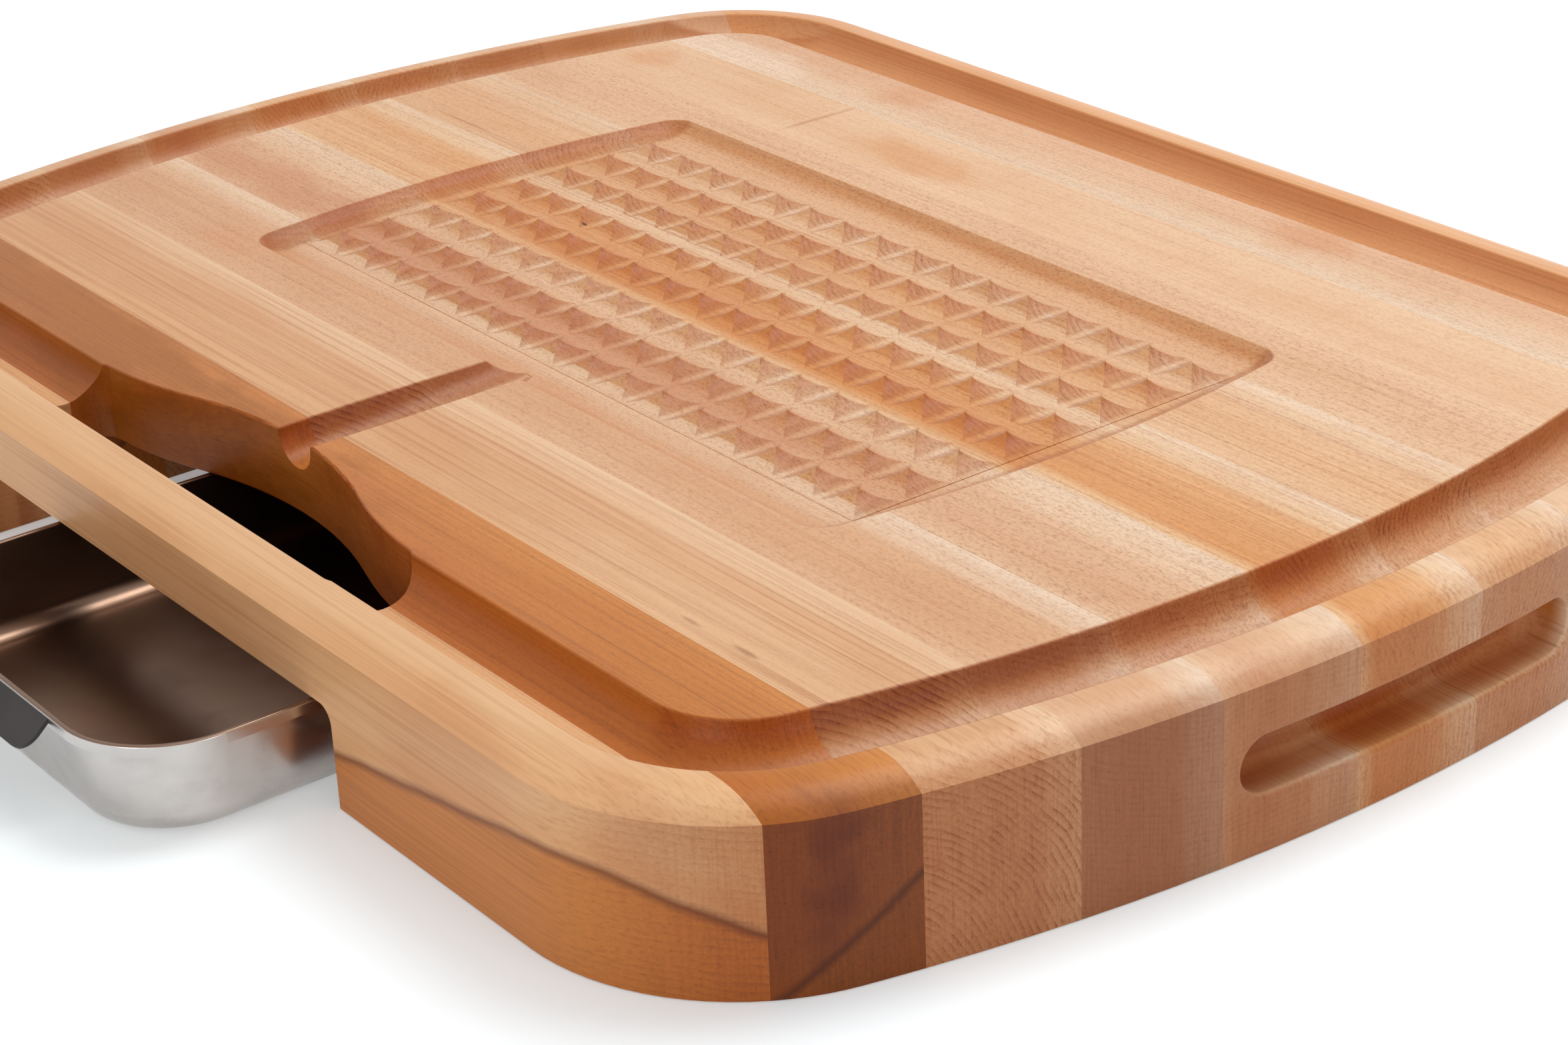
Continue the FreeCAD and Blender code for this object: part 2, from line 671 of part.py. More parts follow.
eased = board.Group[0]
for name, radius, test in (
    ("SlotLips", "Sizes.slot_ease", slot_lip),
    ("TopLips", "Sizes.top_ease", top_lip),
    ("DoorEdges", "Sizes.bay_ease", door_edge),
    ("MouthFoot", "Sizes.bay_ease", mouth_foot),
):
    shape = eased.Shape
    eased = round_edges(
        board,
        name,
        eased,
        radius,
        lambda edge: test(edge.BoundBox) and sharp(shape, edge),
    )

# Staves: the board parted again along its glue lines.
pieces = []
shares = (0,) + GLUE_SHARES + (1,)
for index, (start, end) in enumerate(zip(shares, shares[1:]), start=1):
    slab = doc.addObject("Part::Box", f"Slab{index}")
    # The two outer slabs run past the board, so that only glue lines are cut.
    before = "Sizes.overrun" if start == 0 else "0"
    after = "Sizes.overrun" if end == 1 else "0"
    slab.setExpression("Length", "Sizes.board_length + 2 * Sizes.overrun")
    slab.setExpression("Width", f"{end - start:.6f} * Sizes.board_depth + {before} + {after}")
    slab.setExpression("Height", "Sizes.board_thickness + 2 * Sizes.overrun")
    slab.setExpression("Placement.Base.x", "-Sizes.board_length / 2 - Sizes.overrun")
    slab.setExpression("Placement.Base.y", f"({start} - 0.5) * Sizes.board_depth - {before}")
    slab.setExpression("Placement.Base.z", "-Sizes.overrun")
    stave = doc.addObject("Part::Common", f"Stave{index}")
    stave.Label = f"stave_{index:02d}"
    stave.Base = board
    stave.Tool = slab
    stave.setExpression("Placement.Base.y", SHIFT)
    pieces.append(stave)
doc.recompute()

# Pan: drawn sheet with a flat floor, sloping walls, a round floor edge and a folded rim.
tray = doc.addObject("PartDesign::Body", "Tray")
tray.Label = "drip_tray"
HEEL_RADIUS = "(Sizes.tray_floor_radius + Sizes.tray_sheet)"
FLOOR_INSET = f"(Sizes.rim_thickness + Sizes.tray_draft + {HEEL_RADIUS} + Sizes.overrun)"
floor_plan = body_sketch(tray, "TrayFloorPlan")
round_rectangle(
    floor_plan,
    f"Sizes.tray_width - 2 * {FLOOR_INSET}",
    f"Sizes.tray_length - 2 * {FLOOR_INSET}",
    f"Sizes.tray_corner_radius - {FLOOR_INSET}",
)
pad(tray, "TrayFloor", floor_plan, "Sizes.tray_sheet")

rim_path = body_sketch(tray, "RimPath")
round_rectangle(rim_path, "Sizes.tray_width", "Sizes.tray_length", "Sizes.tray_corner_radius")

# The wall's section, drawn at the front and carried round the rim's outline.
wall_profile = body_sketch(tray, "WallProfile", "YZ_Plane")
rim_face = -number("Sizes.tray_length") / 2
height = number("Sizes.tray_height")
draft = number("Sizes.tray_draft") / height
stretch = math.sqrt(1 + draft**2)
sheet_thickness = number("Sizes.tray_sheet")
heel = number(HEEL_RADIUS)
crease = number("Sizes.tray_floor_radius")
fold = number("Sizes.rim_round")
under = height - number("Sizes.rim_height")
floor_end = rim_face + number(FLOOR_INSET)
lean = math.atan(draft)
outer_foot = rim_face + number("Sizes.rim_thickness - Sizes.tray_sheet + Sizes.tray_draft")
inner_foot = outer_foot + sheet_thickness * stretch
heel_y = outer_foot - draft * heel + heel * stretch
crease_z = sheet_thickness + crease
crease_y = inner_foot - draft * crease_z + crease * stretch
brow_z = height - fold
brow_y = inner_foot - draft * brow_z - fold * stretch


def on_arc(centre_y, centre_z, radius, angle):
    """Return the point of an arc at an angle in radians."""
    return (centre_y + radius * math.cos(angle), centre_z + radius * math.sin(angle))


heel_top = on_arc(heel_y, heel, heel, math.pi + lean)
crease_top = on_arc(crease_y, crease_z, crease, math.pi + lean)
brow_foot = on_arc(brow_y, brow_z, fold, lean)
hem_root = (outer_foot - draft * under, under)
wall_profile.addGeometry(
    [
        line((floor_end, 0), (heel_y, 0)),
        arc((heel_y, heel), heel, math.pi + lean, 1.5 * math.pi),
        line(heel_top, hem_root),
        line(hem_root, (rim_face, under)),
        line((rim_face, under), (rim_face, brow_z)),
        arc((rim_face + fold, brow_z), fold, math.pi / 2, math.pi),
        line((rim_face + fold, height), (brow_y, height)),
        arc((brow_y, brow_z), fold, lean, math.pi / 2),
        line(brow_foot, crease_top),
        arc((crease_y, crease_z), crease, math.pi + lean, 1.5 * math.pi),
        line((crease_y, sheet_thickness), (floor_end, sheet_thickness)),
        line((floor_end, sheet_thickness), (floor_end, 0)),
    ],
    False,
)
for kind, first, first_end, second, second_end in (
    ("Tangent", 0, 2, 1, 2),
    ("Tangent", 1, 1, 2, 1),
    ("Coincident", 2, 2, 3, 1),
    ("Coincident", 3, 2, 4, 1),
    ("Tangent", 4, 2, 5, 2),
    ("Tangent", 5, 1, 6, 1),
    ("Tangent", 6, 2, 7, 2),
    ("Tangent", 7, 1, 8, 1),
    ("Tangent", 8, 2, 9, 1),
    ("Tangent", 9, 2, 10, 1),
    ("Coincident", 10, 2, 11, 1),
    ("Coincident", 11, 2, 0, 1),
):
    wall_profile.addConstraint(Sketcher.Constraint(kind, first, first_end, second, second_end))
for element in (0, 3, 6, 10):
    wall_profile.addConstraint(Sketcher.Constraint("Horizontal", element))
for element in (4, 11):
    wall_profile.addConstraint(Sketcher.Constraint("Vertical", element))
wall_profile.addConstraint(Sketcher.Constraint("Parallel", 2, 8))
wall_profile.addConstraint(Sketcher.Constraint("Equal", 5, 7))
drive(wall_profile, HEEL_RADIUS, "Radius", 1)
drive(wall_profile, "Sizes.tray_floor_radius", "Radius", 9)
drive(wall_profile, "Sizes.rim_round", "Radius", 5)
drive(wall_profile, "Sizes.tray_sheet", "Distance", 2, 2, 8)
FACE = "-Sizes.tray_length / 2"
UNDER = "(Sizes.tray_height - Sizes.rim_height)"
FOOT = f"({FACE} + Sizes.rim_thickness - Sizes.tray_sheet + Sizes.tray_draft)"
place(wall_profile, 0, 1, f"{FACE} + {FLOOR_INSET}", "0")
place(wall_profile, 2, 2, f"{FOOT} - Sizes.tray_draft * {UNDER} / Sizes.tray_height", UNDER)
drive(wall_profile, FACE, "DistanceX", -1, 1, 4, 1)
drive(wall_profile, "Sizes.tray_height", "DistanceY", -1, 1, 6, 1)
drive(wall_profile, "Sizes.tray_sheet", "DistanceY", -1, 1, 10, 1)
drive(
    wall_profile,
    f"{FOOT} - Sizes.tray_draft * {HEEL_RADIUS} / Sizes.tray_height"
    f" + {HEEL_RADIUS} * sqrt(1 + (Sizes.tray_draft / Sizes.tray_height)^2)",
    "DistanceX",
    -1,
    1,
    1,
    3,
)
doc.recompute()
tray_wall = tray.newObject("PartDesign::AdditivePipe", "TrayWall")
tray_wall.Profile = wall_profile
tray_wall.Spine = (rim_path, [f"Edge{index}" for index in range(1, 9)])
doc.recompute()

# Pull: a flat tab welded to the rim's front face and sloping down in front of it.
pull = doc.addObject("PartDesign::Body", "Pull")
pull.Label = "tray_pull"
pull_profile = body_sketch(pull, "PullProfile", "YZ_Plane")
front = -number("Sizes.tray_length") / 2
reach = number("Sizes.pull_reach")
drop = number("Sizes.pull_drop")
thick = number("Sizes.pull_sheet")
slope = math.hypot(reach, drop)
root = number("Sizes.tray_height - Sizes.pull_top_gap")
tip = (front - reach, root - drop)
heel_tip = (tip[0] + thick * drop / slope, tip[1] - thick * reach / slope)
pull_profile.addGeometry(
    [
        line((front, root), tip),
        line(tip, heel_tip),
        line(heel_tip, (front, root - thick * slope / reach)),
        line((front, root - thick * slope / reach), (front, root)),
    ],
    False,
)
join(pull_profile, list(range(4)))
pull_profile.addConstraint(Sketcher.Constraint("Parallel", 0, 2))
pull_profile.addConstraint(Sketcher.Constraint("Perpendicular", 0, 1))
pull_profile.addConstraint(Sketcher.Constraint("Vertical", 3))
PULL_ROOT = "(Sizes.tray_height - Sizes.pull_top_gap)"
place(pull_profile, 0, 1, "-Sizes.tray_length / 2", PULL_ROOT)
place(
    pull_profile,
    0,
    2,
    "-Sizes.tray_length / 2 - Sizes.pull_reach",
    f"{PULL_ROOT} - Sizes.pull_drop",
)
drive(pull_profile, "Sizes.pull_sheet", "Distance", 1)
pull_pad = pad(pull, "PullPad", pull_profile, "Sizes.pull_width")
pull_pad.Midplane = True
doc.recompute()


def pull_corner(edge):
    """Tell whether an edge is one of the two short corners at the tab's tip."""
    box = edge.BoundBox
    return box.XLength < thick / 1000 and box.YMax < front - reach / 2 and edge.Length < 2 * thick


round_edges(pull, "PullCorners", pull_pad, "Sizes.pull_corner_radius", pull_corner)

# The pan stands part way out, a little to the right of the middle.
for piece in (tray, pull):
    piece.setExpression("Placement.Base.x", "Sizes.tray_offset")
    piece.setExpression(
        "Placement.Base.y",
        f"Sizes.tray_length / 2 - {HALF_DEPTH} - Sizes.tray_out + {SHIFT}",
    )
    pieces.append(piece)
doc.recompute()

for item in doc.Objects:
    if {"Invalid", "Error"} & set(item.State):
        raise RuntimeError(f"{item.Label} failed: {item.State}")
for piece in pieces:
    if piece.Shape.isNull() or not piece.Shape.isValid() or len(piece.Shape.Solids) != 1:
        raise RuntimeError(f"{piece.Label} is not one sound solid")

os.makedirs("parts", exist_ok=True)
for piece in pieces:
    piece.Shape.exportStep(f"parts/{piece.Label}.step")
    box = piece.Shape.BoundBox
    print(
        f"{piece.Label}: {piece.Shape.Volume / 1000:.1f} cm3,"
        f" x {box.XMin:.1f}..{box.XMax:.1f}, y {box.YMin:.1f}..{box.YMax:.1f}, z {box.ZMin:.2f}..{box.ZMax:.2f}"
    )
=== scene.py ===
"""Looks of a maple carving board with a steel drip tray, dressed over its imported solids."""

from __future__ import annotations

import logging
import math
from dataclasses import dataclass, field
from enum import Enum
from typing import Any

import bpy
from mathutils import Matrix, Vector

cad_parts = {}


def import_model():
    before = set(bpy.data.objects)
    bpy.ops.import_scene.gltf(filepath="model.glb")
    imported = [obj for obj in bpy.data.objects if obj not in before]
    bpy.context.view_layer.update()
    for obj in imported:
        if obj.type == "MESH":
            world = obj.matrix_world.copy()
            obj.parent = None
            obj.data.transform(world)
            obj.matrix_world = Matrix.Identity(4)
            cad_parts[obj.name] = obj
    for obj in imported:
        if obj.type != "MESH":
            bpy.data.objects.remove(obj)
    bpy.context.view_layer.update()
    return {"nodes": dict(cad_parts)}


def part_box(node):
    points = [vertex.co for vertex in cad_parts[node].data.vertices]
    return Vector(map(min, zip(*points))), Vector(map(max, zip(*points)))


LOG = logging.getLogger("carving_board")
Triple = tuple[float, float, float]
Colour = Triple
Span = tuple[float, float]
MILLIMETRES = 1000.0


def linear(red: int, green: int, blue: int) -> Colour:
    """Turn a colour as it is seen on a screen into linear light.

    Args:
        red: red from 0 to 255.
        green: green from 0 to 255.
        blue: blue from 0 to 255.

    Returns:
        The three linear values from 0 to 1.
    """

    def channel(level: int) -> float:
        """Turn one channel into linear light."""
        share = level / 255
        return share / 12.92 if share <= 0.04045 else ((share + 0.055) / 1.055) ** 2.4

    return channel(red), channel(green), channel(blue)


class Value:
    """One number, vector or colour that flows through a node tree."""

    def __init__(self, graph: Graph, socket: bpy.types.NodeSocket) -> None:
        """Keep the tree and the output socket."""
        self.graph = graph
        self.socket = socket

    def __add__(self, other: Value | float) -> Value:
        """Add a value or a number."""
        return self.graph.math("ADD", self, other)

    __radd__ = __add__

    def __sub__(self, other: Value | float) -> Value:
        """Take away a value or a number."""
        return self.graph.math("SUBTRACT", self, other)

    def __rsub__(self, other: float) -> Value:
        """Take this value away from a number."""
        return self.graph.math("SUBTRACT", other, self)

    def __mul__(self, other: Value | float) -> Value:
        """Multiply by a value or a number."""
        return self.graph.math("MULTIPLY", self, other)

    __rmul__ = __mul__

    def __truediv__(self, other: Value | float) -> Value:
        """Divide by a value or a number."""
        return self.graph.math("DIVIDE", self, other)

    def __pow__(self, other: Value | float) -> Value:
        """Raise to a power."""
        return self.graph.math("POWER", self, other)

    def __neg__(self) -> Value:
        """Turn the sign round."""
        return self.graph.math("MULTIPLY", self, -1.0)

    def __abs__(self) -> Value:
        """Drop the sign."""
        return self.graph.math("ABSOLUTE", self)

    def fraction(self) -> Value:
        """Keep what is after the decimal point."""
        return self.graph.math("FRACT", self)

    def root(self) -> Value:
        """Take the square root."""
        return self.graph.math("SQRT", self)

    def at_least(self, other: Value | float) -> Value:
        """Keep the larger of two values."""
        return self.graph.math("MAXIMUM", self, other)

    def at_most(self, other: Value | float) -> Value:
        """Keep the smaller of two values."""
        return self.graph.math("MINIMUM", self, other)

    def step(self, low: float, high: float, top: float = 1.0) -> Value:
        """Rise smoothly from nothing to a top value.

        Args:
            low: where the rise starts.
            high: where the rise ends.
            top: the value that is reached.

        Returns:
            The smooth step.
        """
        node = self.graph.add(
            "ShaderNodeMapRange",
            {"interpolation_type": "SMOOTHSTEP"},
            {"Value": self, "From Min": low, "From Max": high, "To Max": top},
        )
        return self.graph.out(node, "Result")


class Graph:
    """The node tree of one material, with short ways to add its nodes."""

    def __init__(self, tree: bpy.types.NodeTree) -> None:
        """Empty a node tree and keep it."""
        self.tree = tree
        self.tree.nodes.clear()

    @classmethod
    def of_material(cls, name: str) -> tuple[bpy.types.Material, Graph]:
        """Start a new material.

        Args:
            name: the material's name.

        Returns:
            The material and its empty tree.
        """
        material = bpy.data.materials.new(name)
        material.use_nodes = True
        return material, cls(material.node_tree)

    def add(
        self,
        kind: str,
        settings: dict[str, Any] | None = None,
        sockets: dict[str, Any] | None = None,
    ) -> bpy.types.Node:
        """Add any node.

        Args:
            kind: the node's type name.
            settings: what is set on the node first; "stops" fills a colour ramp.
            sockets: values or links, by the input's identifier or name.

        Returns:
            The new node.
        """
        node = self.tree.nodes.new(kind)
        for name, setting in (settings or {}).items():
            if name == "stops":
                self.fill_ramp(node.color_ramp, setting)
            else:
                setattr(node, name, setting)
        for name, value in (sockets or {}).items():
            target = next((s for s in node.inputs if s.identifier == name), None)
            if target is None:
                target = next(s for s in node.inputs if s.name == name and s.enabled)
            if isinstance(value, Value):
                self.tree.links.new(value.socket, target)
            elif isinstance(value, tuple) and len(value) == 3 and target.type == "RGBA":
                target.default_value = (*value, 1.0)
            else:
                target.default_value = value
        return node

    @staticmethod
    def fill_ramp(ramp: bpy.types.ColorRamp, stops: tuple[tuple[float, Colour], ...]) -> None:
        """Give a colour ramp its stops, with soft changes between them.

        Args:
            ramp: the ramp to fill.
            stops: places from 0 to 1 with their colours.
        """
        ramp.interpolation = "EASE"
        while len(ramp.elements) < len(stops):
            ramp.elements.new(1.0)
        for element, (place, colour) in zip(ramp.elements, stops):
            element.position = place
            element.color = (*colour, 1.0)

    def out(self, node: bpy.types.Node, name: str) -> Value:
        """Wrap one output of a node.

        Args:
            node: the node.
            name: the output's identifier or name.

        Returns:
            The wrapped output.
        """
        found = next((s for s in node.outputs if s.identifier == name), None)
        return Value(self, found or next(s for s in node.outputs if s.name == name))

    def math(self, operation: str, *terms: Value | float) -> Value:
        """Add one Math node.

        Args:
            operation: the node's operation.
            terms: one or two values or numbers.

        Returns:
            The result.
        """
        sockets = dict(zip(("Value", "Value_001"), terms))
        node = self.add("ShaderNodeMath", {"operation": operation}, sockets)
        return self.out(node, "Value")

    def mix(
        self,
        factor: Value | float,
        first: Value | Colour,
        second: Value | Colour,
        blend: str = "MIX",
    ) -> Value:
        """Mix two colours.

        Args:
            factor: how much of the second colour shows.
            first: the first colour.
            second: the second colour.
            blend: the way they are mixed.

        Returns:
            The mixed colour.
        """
        node = self.add(
            "ShaderNodeMix",
            {"data_type": "RGBA", "blend_type": blend},
            {"Factor_Float": factor, "A_Color": first, "B_Color": second},
        )
        return self.out(node, "Result_Color")

    def stretch(self, vector: Value, scale: Triple) -> Value:
        """Multiply a vector by another.

        Args:
            vector: the vector.
            scale: one number for each axis.

        Returns:
            The stretched vector.
        """
        node = self.add(
            "ShaderNodeVectorMath",
            {"operation": "MULTIPLY"},
            {"Vector": vector, "Vector_001": scale},
        )
        return self.out(node, "Vector")

    def noise(self, vector: Value, scale: Triple, detail: float, seed: float) -> Value:
        """Make smooth noise that is drawn out differently along each axis.

        Args:
            vector: the place, in millimetres.
            scale: waves in a millimetre along each axis.
            detail: how many finer layers are added.
            seed: a number that gives another pattern.

        Returns:
            The noise, from 0 to 1 and mostly near a half.
        """
        node = self.add(
            "ShaderNodeTexNoise",
            {"noise_dimensions": "4D"},
            {"Vector": self.stretch(vector, scale), "W": seed, "Scale": 1.0, "Detail": detail},
        )
        return self.out(node, "Fac")

    def axes(self, vector: Value) -> tuple[Value, Value, Value]:
        """Split a vector into its three numbers."""
        node = self.add("ShaderNodeSeparateXYZ", None, {"Vector": vector})
        return self.out(node, "X"), self.out(node, "Y"), self.out(node, "Z")

    def surface(self, sockets: dict[str, Any]) -> None:
        """Close the tree with one Principled surface."""
        shader = self.add("ShaderNodeBsdfPrincipled", None, sockets)
        self.add(
            "ShaderNodeOutputMaterial",
            None,
            {"Surface": self.out(shader, "BSDF")},
        )


class Waves(Enum):
    """Noises that draw the wood and the steel.

    Each has its waves in a millimetre along x, y and z, how many finer layers it has, and its own seed.
    """

    DRIFT = ((0.0045, 0.018, 0.018), 2.0, 0.0)
    FIBRE = ((0.012, 0.9, 0.9), 4.0, 3.1)
    FINE = ((0.7, 1.6, 1.6), 2.0, 5.7)
    UNEVEN = ((0.004, 0.05, 0.05), 2.0, 8.3)
    FADE = ((0.006, 0.16, 0.16), 2.0, 9.9)
    RIPPLE = ((0.17, 0.014, 0.014), 2.0, 11.0)
    WARM = ((0.011, 0.035, 0.035), 2.0, 17.0)
    HEART = ((0.02, 0.03, 0.03), 2.0, 21.0)
    HAIR = ((0.008, 1.3, 1.3), 3.0, 27.0)
    RAGGED = ((0.04, 0.10, 0.10), 3.0, 31.0)
    RIBS = ((0.03, 1.5, 0.05), 2.0, 41.0)
    RUB = ((0.06, 0.06, 1.6), 3.0, 2.0)
    CLOUD = ((0.07, 0.07, 0.10), 3.0, 7.0)

    def over(self, place: Value, seed: float = 0.0) -> Value:
        """Lay this noise over a piece.

        Args:
            place: the place in millimetres.
            seed: the piece's own seed.

        Returns:
            The noise, mostly near a half.
        """
        scale, detail, own_seed = self.value
        return place.graph.noise(place, scale, detail, seed + own_seed)


@dataclass(frozen=True)
class Heart:
    """Where a stave turns to heartwood: below a tilted, wavy sheet.

    The sheet's height in millimetres is base + along * x + across * y.
    """

    base: float
    along: float
    across: float
    colour: Colour
    line: Colour
    sway: float = 4.0
    line_width: float = 2.6
    line_depth: float = 0.6
    line_strength: float = 0.75
    edge: Span = (-0.8, 1.0)
    glow_height: float = 4.0
    glow_width: float = 9.0
    glow_strength: float = 0.28
    grain: float = 0.9

    def lay(self, graph: Graph, colour: Value, place: Value, dark: Value, seed: float) -> Value:
        """Lay heartwood under its sheet, with a dark line where it starts.

        Args:
            graph: the tree to add to.
            colour: the colour of the sapwood.
            place: the place in millimetres.
            dark: how much the grain darkens here.
            seed: the stave's own seed.

        Returns:
            The colour of both woods.
        """
        x, y, z = graph.axes(place)
        wave = Waves.HEART.over(place, seed) - 0.5
        depth = x * self.along + y * self.across + self.base - z + wave * (2 * self.sway)
        line = 1 - (abs(depth - self.line_depth) / self.line_width).at_most(1.0)
        glow = 1 - (abs(depth + self.glow_height) / self.glow_width).at_most(1.0)
        core = graph.mix((dark * self.grain).at_most(1.0), self.colour, self.line)
        colour = graph.mix(glow * self.glow_strength, colour, self.colour)
        colour = graph.mix(depth.step(*self.edge), colour, core)
        return graph.mix(line * self.line_strength, colour, self.line)


@dataclass(frozen=True)
class Patch:
    """A soft stain, knot or speck in the wood, seen from above as a ragged oval."""

    place: tuple[float, float]
    reach: tuple[float, float]
    colour: Colour
    strength: float
    softness: float = 0.75
    raggedness: float = 1.3

    def lay(self, graph: Graph, colour: Value, spot: tuple[Value, Value], ragged: Value) -> Value:
        """Lay the patch over a colour.

        Args:
            graph: the tree to add to.
            colour: the wood's colour.
            spot: places along and across the stave in millimetres.
            ragged: noise that makes the oval uneven.

        Returns:
            The colour with the patch in it.
        """
        along = (spot[0] - self.place[0]) / self.reach[0]
        across = (spot[1] - self.place[1]) / self.reach[1]
        radius = (along * along + across * across).root() + (ragged - 0.5) * self.raggedness
        inside = 1 - radius.step(1 - self.softness, 1.0)
        return graph.mix(inside * self.strength, colour, self.colour)


@dataclass(frozen=True)
class Cuts:
    """How much of each kind of end grain and each painted shade shows at a place, from 0 to 1."""

    inset: Value
    # Painted shade on tilted routed faces and sunk floors.
    slope: Value
    routed_end: Value
    sanded_end: Value
    # Painted shade inside the end slot, darker towards its roof.
    slot_shade: Value


@dataclass(frozen=True)
class Plan:
    """The board seen from above: straight long sides, bowed ends and round corners, in millimetres.

    A lean is the share of a surface's normal along the board. A tilt is nothing on a level surface
    and one on a wall.
    """

    half_length: float
    half_depth: float
    middle: float
    top: float
    end_radius: float = 667.0
    corner_radius: float = 73.0
    rim: Span = (1.0, 15.0)
    lip: Span = (15.4, 17.2)
    groove_floor: Span = (4.5, 10.5)
    sunk: Span = (0.4, 3.0)
    left_end: Span = (-270.0, -170.0)
    slot_mouth: Span = (1.0, 8.0)
    slot_back: Span = (18.0, 26.0)
    # The slot spans place the painted shade inside the end slot.
    slot_roof: Span = (13.0, 20.0)
    slot_floor: Span = (15.0, 27.0)
    soft_lean: Span = (0.0, 0.20)
    steep_lean: Span = (0.45, 0.92)
    sanded_lean: Span = (0.18, 0.98)
    # The tilt spans and the tilt and sunk shares shape the painted shade on routed slopes and sunk floors.
    soft_tilt: Span = (0.0, 0.14)
    wall_tilt: Span = (0.85, 0.98)
    floor_paleness: float = 0.5
    soft_lean_share: float = 0.6
    steep_lean_share: float = 0.4
    tilt_share: float = 0.75
    sunk_shade_share: float = 0.25
    left_end_share: float = 0.55
    slot_floor_share: float = 0.7

    def inset(self, x: Value, y: Value) -> Value:
        """Measure how far a place lies inside the outline.

        Args:
            x: the place along the board.
            y: the place across the board.

        Returns:
            The distance to the outline, not larger than the corner radius.
        """
        across = abs(y - self.middle)
        bow = (self.end_radius**2 - across * across).root() + (self.half_length - self.end_radius)
        past_end = (abs(x) - bow + self.corner_radius).at_least(0.0)
        past_side = (across - (self.half_depth - self.corner_radius)).at_least(0.0)
        return self.corner_radius - (past_end * past_end + past_side * past_side).root()

    def cuts(self, graph: Graph, place: Value, normal: Value) -> Cuts:
        """Find where end grain shows and where shade is painted on slopes, sunk floors and the slot.

        Args:
            graph: the tree to add to.
            place: the place in millimetres.
            normal: the surface's normal.

        Returns:
            How much of each end grain and painted shade shows.
        """
        x, y, z = graph.axes(place)
        lean, _, up = graph.axes(normal)
        lean = abs(lean)
        tilt = 1 - abs(up)
        depth = self.top - z
        inset = self.inset(x, y)
        # The fade on deep floors leaves the painted shade and the end-grain tints strongest near the lips.
        routed = inset.step(*self.lip) * (1 - depth.step(*self.groove_floor, self.floor_paleness))
        soft = lean.step(*self.soft_lean, self.soft_lean_share)
        steep = lean.step(*self.steep_lean, self.steep_lean_share)
        ends = (soft + steep) * routed
        # Painted shade: sunk floors and tilted routed faces darkened, as where light falls less.
        sunk = depth.step(*self.sunk) * routed * self.sunk_shade_share
        shaded_slopes = tilt.step(*self.soft_tilt, self.tilt_share) + sunk
        left = x.step(*self.left_end, 1 - self.left_end_share) + self.left_end_share
        # Painted shade inside the end slot, weaker towards its floor.
        slot = inset.step(*self.slot_mouth) * (1 - inset.step(*self.slot_back)) * depth.step(*self.slot_roof)
        floor = z.step(*self.slot_floor, 1 - self.slot_floor_share) + self.slot_floor_share
        return Cuts(
            inset=inset,
            slope=shaded_slopes * (1 - tilt.step(*self.wall_tilt)) * routed,
            routed_end=ends * left,
            sanded_end=lean.step(*self.sanded_lean) * (1 - inset.step(*self.rim)),
            slot_shade=slot * floor,
        )


